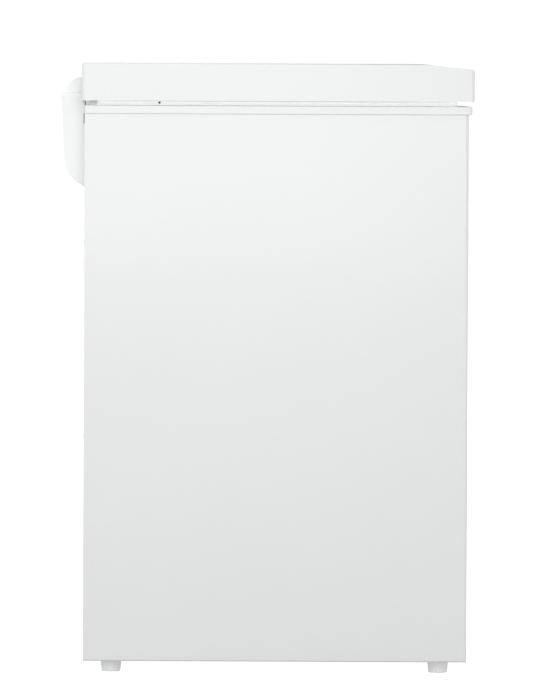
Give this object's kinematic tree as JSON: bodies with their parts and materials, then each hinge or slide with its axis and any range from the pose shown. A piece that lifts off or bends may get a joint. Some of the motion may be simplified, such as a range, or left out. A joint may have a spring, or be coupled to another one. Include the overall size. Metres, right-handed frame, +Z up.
{
  "type": "chest freezer",
  "caption": "Compact top-opening chest freezer: white insulated cabinet, thick lid on sprung rear hinges, magnetic gasket, hanging basket, compressor bay and levelling feet.",
  "frame": {"origin": "centre of the bounding box's bottom face, on the floor under the feet", "axes": "+Z up, front face towards -Y, +X to the right of a person standing in front; the hinges are at +Y"},
  "size_m": [0.625, 0.5761, 0.85],
  "materials": {
    "painted_sheet": "gloss",
    "galvanised_sheet": "satin",
    "liner_sheet": "satin",
    "lid_liner_plastic": "satin",
    "foam": "matte",
    "white_plastic": "satin",
    "evaporator_aluminium": "satin",
    "copper_tube": "satin",
    "compressor_paint": "satin",
    "grey_plastic": "satin",
    "black_rubber": "matte",
    "foot_plastic": "satin",
    "gasket_rubber": "matte",
    "coated_wire": "gloss",
    "bright_steel": "satin",
    "green_lens": "gloss",
    "amber_lens": "gloss"
  },
  "bodies": {
    "cabinet": {"back_panel": "painted_sheet", "base_pan": "galvanised_sheet", "bay_panel": "galvanised_sheet", "cabinet_foam": "foam", "cabinet_rim": "white_plastic", "cable_gland": "black_rubber", "capillary_tube": "copper_tube", "compressor_grommet_1": "black_rubber", "compressor_grommet_2": "black_rubber", "compressor_grommet_3": "black_rubber", "compressor_grommet_4": "black_rubber", "compressor_shell": "compressor_paint", "compressor_terminal_cover": "grey_plastic", "compressor_tray": "galvanised_sheet", "condenser_tube": "copper_tube", "control_bezel": "white_plastic", "discharge_line": "copper_tube", "drain_tube": "grey_plastic", "evaporator_tube": "evaporator_aluminium", "filter_drier": "copper_tube", "hinge_base_left": "galvanised_sheet", "hinge_base_right": "galvanised_sheet", "hinge_cover_left": "white_plastic", "hinge_cover_right": "white_plastic", "hinge_pin_left": "bright_steel", "hinge_pin_right": "bright_steel", "hinge_spring_left": "bright_steel", "hinge_spring_right": "bright_steel", "inner_liner": "liner_sheet", "outer_wrap": "painted_sheet", "power_lamp_lens": "green_lens", "rear_cover": "galvanised_sheet", "run_lamp_lens": "amber_lens", "side_vent_grille": "white_plastic", "suction_line": "copper_tube", "thermostat_body": "grey_plastic"},
    "lid": {"lid_outer": "painted_sheet", "lid_foam": "foam", "lid_liner": "lid_liner_plastic", "lid_gasket": "gasket_rubber", "hinge_arm_left": "galvanised_sheet", "hinge_arm_right": "galvanised_sheet", "hinge_cap_left": "white_plastic", "hinge_cap_right": "white_plastic"},
    "basket": {"basket_floor": "coated_wire", "basket_front": "coated_wire", "basket_hanger_front": "coated_wire", "basket_hanger_rear": "coated_wire", "basket_left": "coated_wire", "basket_rear": "coated_wire", "basket_right": "coated_wire"},
    "plunger_left": {"hinge_plunger_left": "bright_steel"},
    "plunger_right": {"hinge_plunger_right": "bright_steel"},
    "knob": {"thermostat_knob": "grey_plastic"},
    "drain_plug": {"drain_plug": "white_plastic"},
    "drain_cap": {"drain_cap": "white_plastic"},
    "foot_front_left": {"foot_front_left": "foot_plastic"},
    "foot_front_right": {"foot_front_right": "foot_plastic"},
    "foot_rear_left": {"foot_rear_left": "foot_plastic"},
    "foot_rear_right": {"foot_rear_right": "foot_plastic"}
  },
  "joints": [
    {"name": "lid_hinge", "type": "hinge", "parent": "cabinet", "child": "lid", "pos_m": [0, 0.261, 0.808], "axis": [-1, 0, 0], "range_deg": [0, 70]},
    {"name": "plunger_slide_left", "type": "slide", "parent": "cabinet", "child": "plunger_left", "axis": [0, 0, -1], "range_m": [0, 0.0055], "deforming": ["hinge_spring_left"]},
    {"name": "plunger_slide_right", "type": "slide", "parent": "cabinet", "child": "plunger_right", "axis": [0, 0, -1], "range_m": [0, 0.0055], "deforming": ["hinge_spring_right"]},
    {"name": "basket_slide", "type": "slide", "parent": "cabinet", "child": "basket", "axis": [-1, 0, 0], "range_m": [0, 0.25]},
    {"name": "knob_turn", "type": "hinge", "parent": "cabinet", "child": "knob", "pos_m": [0.205, -0.2785, 0.1175], "axis": [0, 1, 0], "range_deg": [0, 270]},
    {"name": "drain_plug_pull", "type": "slide", "parent": "cabinet", "child": "drain_plug", "axis": [0, 0, 1], "range_m": [0, 0.03]},
    {"name": "drain_cap_pull", "type": "slide", "parent": "cabinet", "child": "drain_cap", "axis": [0, -1, 0], "range_m": [0, 0.03]},
    {"name": "foot_front_left_turn", "type": "hinge", "parent": "cabinet", "child": "foot_front_left", "pos_m": [-0.2745, -0.239, 0], "axis": [0, 0, 1], "continuous": true},
    {"name": "foot_front_right_turn", "type": "hinge", "parent": "cabinet", "child": "foot_front_right", "pos_m": [0.2745, -0.239, 0], "axis": [0, 0, 1], "continuous": true},
    {"name": "foot_rear_left_turn", "type": "hinge", "parent": "cabinet", "child": "foot_rear_left", "pos_m": [-0.2745, 0.2175, 0], "axis": [0, 0, 1], "continuous": true},
    {"name": "foot_rear_right_turn", "type": "hinge", "parent": "cabinet", "child": "foot_rear_right", "pos_m": [0.2745, 0.2175, 0], "axis": [0, 0, 1], "continuous": true}
  ],
  "couplings": [
    {"joint": "plunger_slide_left", "follows": "lid_hinge", "m_per_rad": 0.0045},
    {"joint": "plunger_slide_right", "follows": "lid_hinge", "m_per_rad": 0.0045}
  ]
}
